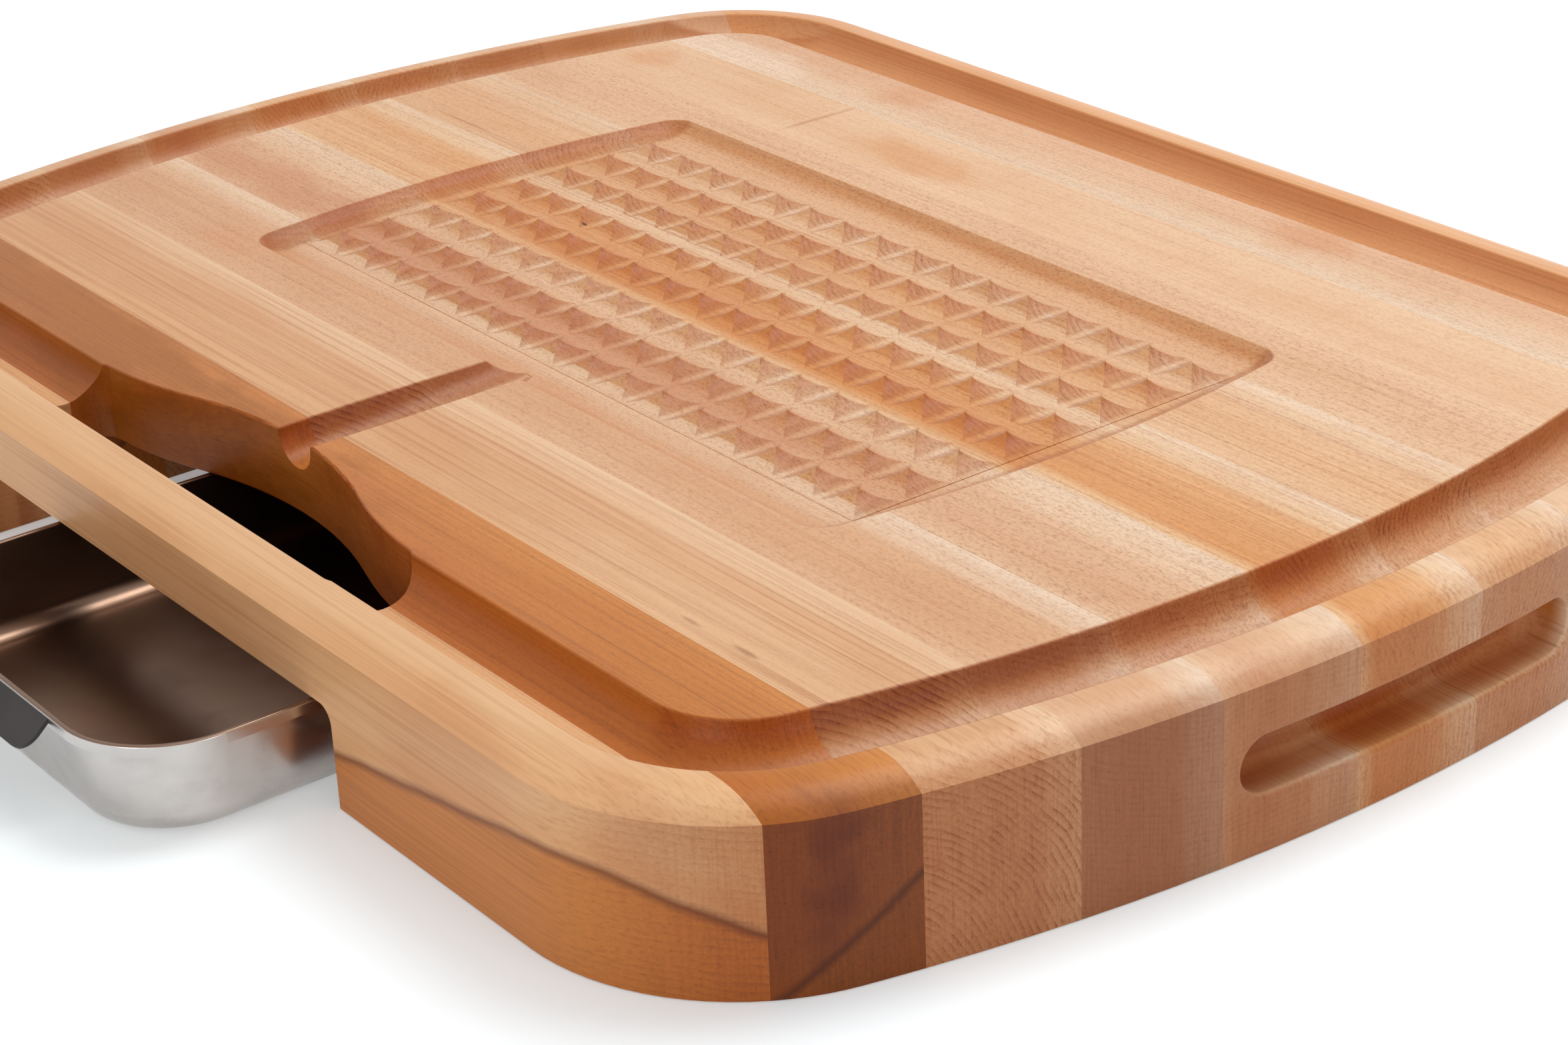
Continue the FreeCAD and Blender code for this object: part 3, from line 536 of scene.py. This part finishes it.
@dataclass(frozen=True)
class Maple:
    """The wood of one stave, sawn from its own log and oiled.

    Tones run across the stave from its front glue line to its back one. The pith is where the rings are
    centred, in millimetres from the stave's front glue line and from the table.
    """

    tones: tuple[tuple[float, Colour], ...]
    pith: tuple[float, float]
    ring_gap: float = 1.9
    ring_depth: float = 0.10
    streaks: float = 0.16
    flecks: float = 0.22
    curl: float = 0.0
    sway: float = 4.0
    shade: Colour = linear(166, 100, 54)
    # Painted shade on tilted routed faces and sunk floors.
    slope_shade_tint: Colour = linear(238, 214, 186)
    cut_end_tint: Colour = linear(214, 180, 152)
    # Painted shade inside the end slot.
    slot_shade_tint: Colour = linear(214, 162, 106)
    end_tint: Colour = linear(208, 178, 160)
    # Multiplied in at warm spots and as painted shade that grows towards the left end.
    warm_and_shade_tint: Colour = linear(240, 225, 207)
    warm_spots: Span = (0.42, 0.72)
    warm_share: float = 0.40
    # Offset of the painted shade that grows towards the left end.
    left_shade_middle: float = 0.22
    patch_wander: float = 0.4
    noise_floor: float = 0.46
    fibre_gain: float = 3.2
    hair_span: Span = (0.50, 0.66)
    hair_gain: float = 0.9
    fleck_span: Span = (12.0, 36.0)
    fleck_gain: float = 6.5
    rim_flecks: float = 0.2
    rib_floor: float = 0.42
    rib_gain: float = 0.9
    ring_fade: Span = (0.38, 0.64)
    faint_rings: float = 0.3
    ring_wander: float = 3.0
    ring_sharpness: float = 2.5
    routed_rings: float = 2.5
    roughness: float = 0.30
    fibre_roughness: float = 0.12
    fine_roughness: float = 0.06
    relief: float = 0.10
    relief_height: float = 0.0003
    shine: float = 0.27
    refraction: float = 1.45
    heart: Heart | None = None
    patches: tuple[Patch, ...] = ()

    def material(self, name: str, seed: float, front: float, back: float, plan: Plan) -> bpy.types.Material:
        """Make the stave's own material.

        Args:
            name: the material's name.
            seed: a number that makes this stave's grain its own.
            front: the front glue line's place along y in millimetres.
            back: the back glue line's place along y in millimetres.
            plan: the whole board's plan.

        Returns:
            The material.
        """
        material, graph = Graph.of_material(name)
        coordinates = graph.add("ShaderNodeTexCoord")
        place = graph.stretch(graph.out(coordinates, "Object"), (MILLIMETRES,) * 3)
        cuts = plan.cuts(graph, place, graph.out(coordinates, "Normal"))
        end = cuts.routed_end + cuts.sanded_end
        drift = (Waves.DRIFT.over(place, seed) - 0.5) * (2 * self.sway)
        fibre = Waves.FIBRE.over(place, seed)
        fine = Waves.FINE.over(place, seed)
        ribs = Waves.RIBS.over(place, seed)

        dark = (fibre - self.noise_floor).at_least(0.0) * (self.fibre_gain * self.streaks)
        hair = Waves.HAIR.over(place, seed).step(*self.hair_span)
        dark = dark + hair * (self.hair_gain * self.streaks)
        spread = cuts.inset.step(*self.fleck_span, 1 - self.rim_flecks) + self.rim_flecks
        dark = dark + (fine - self.noise_floor).at_least(0.0) * spread * (self.fleck_gain * self.flecks)
        ring_share = 1 + cuts.routed_end * self.routed_rings + cuts.sanded_end
        dark = dark + self.rings(graph, place, drift, seed, front) * ring_share
        if self.curl:
            dark = dark + (Waves.RIPPLE.over(place, seed) - 0.5).at_least(0.0) * (2 * self.curl)
        dark = dark + end * (ribs - self.rib_floor).at_least(0.0) * self.rib_gain

        colour = self.ground(graph, place, drift, seed, (front, back))
        colour = graph.mix(dark.at_most(1.0), colour, self.shade)
        if self.heart:
            colour = self.heart.lay(graph, colour, place, dark, seed)
        # Painted shade on tilted routed faces and sunk floors.
        colour = graph.mix(cuts.slope, colour, self.slope_shade_tint, "MULTIPLY")
        colour = graph.mix(cuts.routed_end, colour, self.cut_end_tint, "MULTIPLY")
        colour = graph.mix(cuts.sanded_end, colour, self.end_tint, "MULTIPLY")
        # Painted shade inside the end slot.
        colour = graph.mix(cuts.slot_shade, colour, self.slot_shade_tint, "MULTIPLY")
        height = fibre + fine * 0.5 + end * ribs
        relief = graph.add(
            "ShaderNodeBump",
            None,
            {"Strength": self.relief, "Distance": self.relief_height, "Height": height},
        )
        graph.surface(
            {
                "Base Color": colour,
                "Roughness": self.roughness + fibre * self.fibre_roughness + fine * self.fine_roughness,
                "Normal": graph.out(relief, "Normal"),
                "IOR": self.refraction,
                "Specular IOR Level": self.shine,
            }
        )
        return material

    def ground(self, graph: Graph, place: Value, drift: Value, seed: float, edges: Span) -> Value:
        """Colour the stave before its grain is drawn: tones, warm spots, stains, painted shade to the left.

        Args:
            graph: the tree to add to.
            place: the place in millimetres.
            drift: slow sideways wander of the grain.
            seed: the stave's own seed.
            edges: places of the front and the back glue line.

        Returns:
            The colour.
        """
        x, y, _ = graph.axes(place)
        across = (y + drift - edges[0]) / (edges[1] - edges[0])
        ramp = graph.add("ShaderNodeValToRGB", {"stops": self.tones}, {"Fac": across})
        warm_and_left_shade = Waves.WARM.over(place, seed).step(*self.warm_spots, self.warm_share)
        # Painted shade: the stave darker towards its left end, as where light falls off.
        warm_and_left_shade = warm_and_left_shade + (self.left_shade_middle - x / MILLIMETRES)
        colour = graph.mix(warm_and_left_shade, graph.out(ramp, "Color"), self.warm_and_shade_tint, "MULTIPLY")
        ragged = Waves.RAGGED.over(place, seed)
        for patch in self.patches:
            colour = patch.lay(graph, colour, (x, y + drift * self.patch_wander), ragged)
        return colour

    def rings(self, graph: Graph, place: Value, drift: Value, seed: float, front: float) -> Value:
        """Draw the growth rings through the solid wood.

        Args:
            graph: the tree to add to.
            place: the place in millimetres.
            drift: slow sideways wander of the grain.
            seed: the stave's own seed.
            front: the front glue line's place.

        Returns:
            How much the rings darken the wood.
        """
        _, y, z = graph.axes(place)
        across = y + drift * 0.5 - (front + self.pith[0])
        above = z - self.pith[1]
        radius = (across * across + above * above).root()
        uneven = Waves.UNEVEN.over(place, seed)
        fade = Waves.FADE.over(place, seed).step(*self.ring_fade)
        line = (radius / self.ring_gap + uneven * self.ring_wander).fraction() ** self.ring_sharpness
        return line * (fade * (1 - self.faint_rings) + self.faint_rings) * self.ring_depth


class Polish(Enum):
    """How rough the steel's surface is left."""

    BRIGHT = 0.28
    SATIN = 0.22
    BLASTED = 0.42


@dataclass(frozen=True)
class Steel:
    """Stainless sheet with rubbed marks, polished differently inside a dish and outside it."""

    inside: Polish
    outside: Polish
    colour: Colour
    # Painted reflection and shade: the dish inside tinted darker brown, as if mirroring the wood.
    inside_reflection_colour: Colour
    centre: tuple[float, float]
    marks: float = 0.05
    inward: Span = (1.0, 9.0)
    level: Span = (0.25, 0.65)
    smudges: Span = (0.40, 0.72)
    smudge_tint: Colour = (0.78, 0.78, 0.78)
    smudge_strength: float = 0.55

    def material(self, name: str) -> bpy.types.Material:
        """Make the sheet's material.

        Args:
            name: the material's name.

        Returns:
            The material.
        """
        material, graph = Graph.of_material(name)
        coordinates = graph.add("ShaderNodeTexCoord")
        place = graph.stretch(graph.out(coordinates, "Object"), (MILLIMETRES,) * 3)
        x, y, _ = graph.axes(place)
        lean_x, lean_y, up = graph.axes(graph.out(coordinates, "Normal"))
        outward = (x - self.centre[0]) * lean_x + (y - self.centre[1]) * lean_y
        dish = (-outward).step(*self.inward).at_least(up.step(*self.level))

        rub = Waves.RUB.over(place) - 0.5
        smudge = Waves.CLOUD.over(place).step(*self.smudges)
        # Painted reflection: inside the dish the sheet takes the darker brown colour.
        sheet = graph.mix(dish, self.colour, self.inside_reflection_colour)
        tint = graph.mix(smudge * self.smudge_strength, sheet, self.smudge_tint, "MULTIPLY")
        outer = smudge * (2 * self.marks) + rub * self.marks + self.outside.value
        inner = smudge * self.marks + self.inside.value
        graph.surface(
            {
                "Base Color": tint,
                "Metallic": 1.0,
                "Roughness": dish * inner + (1 - dish) * outer,
            }
        )
        return material


def dress(node: bpy.types.Object, material: bpy.types.Material) -> None:
    """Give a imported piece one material.

    Args:
        node: the piece.
        material: its finish.
    """
    if not node.material_slots:
        node.data.materials.append(material)
    for slot in node.material_slots:
        slot.material = material
    LOG.info("dressed %s with %s", node.name, material.name)


@dataclass
class Block:
    """The board: eleven maple staves glued edge to edge."""

    nodes: dict[str, bpy.types.Object]
    first_seed: float = 10.0
    seed_gap: float = 37.0

    def woods(self) -> tuple[Maple, ...]:
        """List the wood of each stave.

        Returns:
            The woods, from the tray's side to the back.
        """
        stain = linear(212, 152, 108)
        knot = linear(140, 84, 46)
        return (
            Maple(
                tones=(
                    (0.0, linear(231, 179, 131)), (0.4, linear(228, 183, 138)),
                    (1.0, linear(228, 180, 132)),
                ),
                pith=(10.0, -70.0), ring_gap=2.4, ring_depth=0.15, streaks=0.20, flecks=0.10,
                heart=Heart(-139.84, 0.16, -0.72, linear(204, 126, 60), linear(112, 60, 34)),
                patches=(
                    # Painted shade: the bridge's front face darker and warmer towards its left, where light
                    # falls off.
                    Patch((30.0, -196.0), (80.0, 8.0), linear(186, 122, 70), 0.3),
                    Patch((176.0, -194.0), (40.0, 14.0), linear(200, 126, 82), 0.30),
                    Patch((250.0, -186.0), (30.0, 12.0), linear(200, 126, 82), 0.30),
                ),
            ),
            Maple(
                tones=(
                    (0.0, linear(186, 106, 36)), (0.6, linear(196, 120, 50)),
                    (1.0, linear(206, 132, 62)),
                ),
                pith=(90.0, 40.0), ring_depth=0.06, streaks=0.22, flecks=0.12, shade=linear(116, 58, 26),
                # Its second tint on the next line is a lighter painted shade on the routed slopes.
                end_tint=linear(164, 138, 138), slope_shade_tint=linear(246, 231, 196),
                cut_end_tint=linear(228, 194, 146),
                heart=Heart(125.2, 0.0, 0.78, linear(200, 124, 44), linear(104, 54, 28), sway=2.5),
                patches=(
                    Patch((292.0, -146.0), (30.0, 11.0), linear(140, 70, 36), 0.7),
                    Patch((-10.0, -150.0), (150.0, 9.0), linear(168, 88, 30), 0.5),
                    Patch((-170.0, -138.0), (260.0, 32.0), linear(162, 93, 8), 0.9),
                ),
            ),
            Maple(
                tones=(
                    (0.0, linear(220, 170, 124)), (0.35, linear(216, 166, 121)),
                    (0.7, linear(219, 170, 127)),
                    (0.82, linear(228, 187, 147)), (1.0, linear(232, 195, 157)),
                ),
                pith=(-30.0, -20.0), ring_gap=2.0, ring_depth=0.34, streaks=0.26, flecks=0.08,
                cut_end_tint=linear(200, 164, 138),
                patches=(
                    Patch((190.0, -112.0), (130.0, 20.0), linear(230, 187, 146), 0.5),
                    Patch((181.0, -116.6), (6.0, 1.0), knot, 0.45),
                    Patch((206.0, -116.4), (8.0, 1.4), knot, 0.6),
                ),
            ),
            Maple(
                tones=(
                    (0.0, linear(221, 176, 137)), (0.35, linear(216, 167, 127)),
                    (0.65, linear(218, 170, 130)),
                    (0.82, linear(228, 192, 160)), (1.0, linear(235, 207, 179)),
                ),
                pith=(60.0, 150.0), end_tint=linear(182, 148, 130),
                cut_end_tint=linear(200, 164, 138),
                patches=(
                    Patch((-165.0, -63.0), (26.0, 13.0), stain, 0.65),
                    Patch((0.0, -50.0), (60.0, 11.0), stain, 0.35),
                ),
            ),
            Maple(
                tones=(
                    (0.0, linear(230, 194, 160)), (0.12, linear(222, 178, 140)),
                    (0.3, linear(218, 169, 131)),
                    (0.55, linear(222, 177, 139)), (0.75, linear(231, 196, 163)),
                    (1.0, linear(234, 206, 178)),
                ),
                pith=(20.0, -160.0), flecks=0.3, end_tint=linear(202, 168, 146),
                patches=(
                    Patch((-50.0, -20.0), (230.0, 15.0), linear(200, 138, 100), 0.55, 0.6),
                    Patch((-225.0, -22.0), (110.0, 22.0), linear(200, 138, 94), 0.6),
                ),
            ),
            Maple(
                tones=(
                    (0.0, linear(234, 200, 160)), (0.05, linear(228, 182, 134)),
                    (0.14, linear(217, 152, 92)),
                    (0.28, linear(217, 154, 96)), (0.48, linear(220, 160, 104)),
                    (0.64, linear(225, 172, 120)),
                    (0.80, linear(233, 198, 160)), (1.0, linear(236, 208, 178)),
                ),
                pith=(-60.0, 20.0), ring_depth=0.16, streaks=0.28, shade=linear(172, 98, 44),
                end_tint=linear(218, 194, 178),
                patches=(
                    Patch((-230.0, 26.0), (170.0, 24.0), linear(228, 184, 138), 0.6),
                    Patch((-99.6, 43.2), (1.6, 1.0), linear(58, 30, 18), 1.0),
                ),
            ),
            Maple(
                tones=(
                    (0.0, linear(229, 188, 147)), (0.35, linear(227, 179, 134)),
                    (0.65, linear(228, 183, 141)),
                    (0.82, linear(232, 196, 160)), (1.0, linear(236, 207, 178)),
                ),
                pith=(110.0, -10.0), ring_depth=0.18, streaks=0.28,
                patches=(Patch((-215.0, 68.5), (30.0, 1.3), linear(188, 120, 68), 0.7),),
            ),
            Maple(
                tones=(
                    (0.0, linear(229, 190, 153)), (0.5, linear(226, 183, 145)),
                    (1.0, linear(228, 188, 152)),
                ),
                pith=(20.0, 170.0), flecks=0.28,
            ),
            Maple(
                tones=(
                    (0.0, linear(231, 193, 157)), (0.5, linear(228, 189, 151)),
                    (1.0, linear(231, 194, 158)),
                ),
                pith=(30.0, -90.0), curl=0.16, shade=linear(186, 122, 70),
                patches=(
                    Patch((-229.0, 166.5), (16.0, 16.0), linear(212, 150, 102), 0.65),
                    Patch((-62.0, 166.0), (44.0, 17.0), linear(212, 150, 98), 0.75),
                    Patch((-122.0, 166.0), (2.0, 24.0), linear(186, 124, 80), 0.6),
                ),
            ),
            Maple(
                tones=(
                    (0.0, linear(231, 203, 174)), (0.3, linear(228, 193, 160)),
                    (0.65, linear(225, 182, 147)),
                    (1.0, linear(224, 180, 145)),
                ),
                pith=(-50.0, 90.0), curl=0.08,
                patches=(
                    Patch((-215.0, 196.0), (70.0, 18.0), linear(240, 214, 188), 0.6),
                    Patch((-118.0, 212.0), (20.0, 20.0), stain, 0.75),
                    Patch((98.0, 211.0), (30.0, 17.0), stain, 0.8),
                ),
            ),
            Maple(
                tones=(
                    (0.0, linear(226, 166, 114)), (0.6, linear(229, 173, 124)),
                    (1.0, linear(234, 184, 140)),
                ),
                # Its last tint on the next line is a lighter painted shade on the routed slopes.
                pith=(20.0, -60.0), ring_depth=0.14, streaks=0.24, slope_shade_tint=linear(250, 238, 226),
            ),
        )

    def dress(self) -> None:
        """Give every stave its own wood."""
        woods = self.woods()
        names = [f"stave_{number:02d}" for number in range(1, len(woods) + 1)]
        boxes = [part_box(name) for name in names]
        edges = [(low[1] * MILLIMETRES, high[1] * MILLIMETRES) for low, high in boxes]
        length = max(high[0] for _, high in boxes) * MILLIMETRES
        top = max(high[2] for _, high in boxes) * MILLIMETRES
        front, back = edges[0][0], edges[-1][1]
        plan = Plan(length, (back - front) / 2, (back + front) / 2, top)
        for index, (name, wood) in enumerate(zip(names, woods)):
            seed = self.first_seed + self.seed_gap * index
            dress(self.nodes[name], wood.material(f"maple_of_{name}", seed, *edges[index], plan))


@dataclass
class DripTray:
    """The loose steel tray and the tab that pulls it."""

    nodes: dict[str, bpy.types.Object]
    sheet_colour: Colour = linear(200, 194, 190)
    # Painted reflection and shade: the tray's inside darker brown, as if mirroring the wood above.
    inside_reflection_colour: Colour = linear(126, 102, 86)
    # Painted shade: the pull tab's steel made near black, as if turned away from the light.
    tab_shade_colour: Colour = linear(70, 67, 65)

    def dress(self) -> None:
        """Give the tray and its tab their steel."""
        low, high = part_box("drip_tray")
        middle = ((low[0] + high[0]) * MILLIMETRES / 2, (low[1] + high[1]) * MILLIMETRES / 2)
        sheet = Steel(Polish.BRIGHT, Polish.SATIN, self.sheet_colour, self.inside_reflection_colour, middle)
        # The tab's near-black steel is painted shade and painted dark reflection.
        tab = Steel(Polish.BLASTED, Polish.BLASTED, self.tab_shade_colour, self.tab_shade_colour, middle)
        dress(self.nodes["drip_tray"], sheet.material("tray_steel"))
        dress(self.nodes["tray_pull"], tab.material("tab_steel"))


@dataclass(frozen=True)
class Softbox:
    """One large soft lamp."""

    name: str
    place: Triple
    aim: Triple
    size: float
    power: float


@dataclass
class Studio:
    """Plain floor, soft light and the camera of the photograph."""

    azimuth: float = math.radians(53.13)
    elevation: float = math.radians(25.668)
    roll: float = math.radians(2.475)
    eye: Triple = (0.84368, -0.58045, 0.47393)
    focal_share: float = 5033.4 / 2352
    sensor: float = 36.0
    floor_side: float = 40.0
    floor_drop: float = 0.0004
    floor_colour: Colour = (0.77, 0.82, 0.84)
    ambient: float = 0.52
    floor_glow: float = 0.28
    softboxes: tuple[Softbox, ...] = field(
        default_factory=lambda: (
            Softbox("key_light", (0.15, 0.85, 1.8), (0.0, 0.0, 0.0), 1.1, 19.5),
            Softbox("top_light", (0.0, 0.0, 1.6), (0.1, 0.0, 0.0), 0.6, 2.2),
            Softbox("right_light", (2.1, 0.3, 0.35), (0.0, 0.0, 0.0), 1.2, 7.0),
            Softbox("front_light", (0.9, -2.1, 0.6), (0.0, 0.0, 0.0), 1.2, 8.5),
        )
    )

    def build(self) -> None:
        """Set up the whole studio."""
        self.floor()
        self.world()
        for box in self.softboxes:
            self.lamp(box)
        self.camera()
        bpy.context.scene.view_settings.view_transform = "Standard"

    def seen(self, graph: Graph) -> Value:
        """Tell whether a ray comes from the camera or from a mirror.

        Args:
            graph: the tree to add to.

        Returns:
            One for such a ray, nothing for others.
        """
        path = graph.add("ShaderNodeLightPath")
        seen = graph.out(path, "Is Camera Ray").at_least(graph.out(path, "Is Glossy Ray"))
        return seen.at_least(graph.out(path, "Is Transmission Ray"))

    def floor(self) -> None:
        """Lay a wide white floor that keeps the shadow."""
        half = self.floor_side / 2
        mesh = bpy.data.meshes.new("floor")
        corners = ((-half, -half), (half, -half), (half, half), (-half, half))
        mesh.from_pydata([(x, y, -self.floor_drop) for x, y in corners], [], [(0, 1, 2, 3)])
        floor = bpy.data.objects.new("floor", mesh)
        bpy.context.scene.collection.objects.link(floor)
        material, graph = Graph.of_material("white_sweep")
        graph.surface(
            {
                "Base Color": self.floor_colour,
                "Roughness": 0.9,
                "Emission Color": graph.mix(self.seen(graph), (0.0,) * 3, (self.floor_glow,) * 3),
                "Emission Strength": 1.0,
            }
        )
        mesh.materials.append(material)
        LOG.info("laid %s", floor.name)

    def world(self) -> None:
        """Light everything evenly from all sides."""
        world = bpy.data.worlds.new("studio")
        world.use_nodes = True
        graph = Graph(world.node_tree)
        white = graph.mix(self.seen(graph), (self.ambient,) * 3, (1.0, 1.0, 1.0))
        sky = graph.add("ShaderNodeBackground", None, {"Color": white, "Strength": 1.0})
        graph.add("ShaderNodeOutputWorld", None, {"Surface": graph.out(sky, "Background")})
        bpy.context.scene.world = world

    def lamp(self, box: Softbox) -> None:
        """Hang one softbox.

        Args:
            box: what to hang.
        """
        light = bpy.data.lights.new(box.name, "AREA")
        light.shape = "DISK"
        light.size = box.size
        light.energy = box.power
        lamp = bpy.data.objects.new(box.name, light)
        lamp.location = box.place
        aim = Vector(box.aim) - Vector(box.place)
        lamp.rotation_euler = aim.to_track_quat("-Z", "Y").to_euler()
        bpy.context.scene.collection.objects.link(lamp)
        LOG.info("hung %s", box.name)

    def camera(self) -> None:
        """Put the camera where the photograph was taken."""
        flat = math.cos(self.elevation)
        back = Vector(
            (
                math.sin(self.azimuth) * flat,
                -math.cos(self.azimuth) * flat,
                math.sin(self.elevation),
            )
        )
        level = (-back).cross(Vector((0, 0, 1))).normalized()
        sunk = (-back).cross(level)
        right = math.cos(self.roll) * level + math.sin(self.roll) * sunk
        down = math.cos(self.roll) * sunk - math.sin(self.roll) * level
        data = bpy.data.cameras.new("photo_camera")
        data.sensor_fit = "HORIZONTAL"
        data.sensor_width = self.sensor
        data.lens = self.focal_share * self.sensor
        camera = bpy.data.objects.new("photo_camera", data)
        turn = Matrix((right, -down, back)).transposed().to_4x4()
        camera.matrix_world = Matrix.Translation(Vector(self.eye)) @ turn
        bpy.context.scene.collection.objects.link(camera)
        bpy.context.scene.camera = camera


def main() -> None:
    """Dress the board and the tray and light them."""
    logging.basicConfig(level=logging.INFO, format="%(message)s")
    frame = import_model()
    Block(frame["nodes"]).dress()
    DripTray(frame["nodes"]).dress()
    Studio().build()


if __name__ == "__main__":
    main()
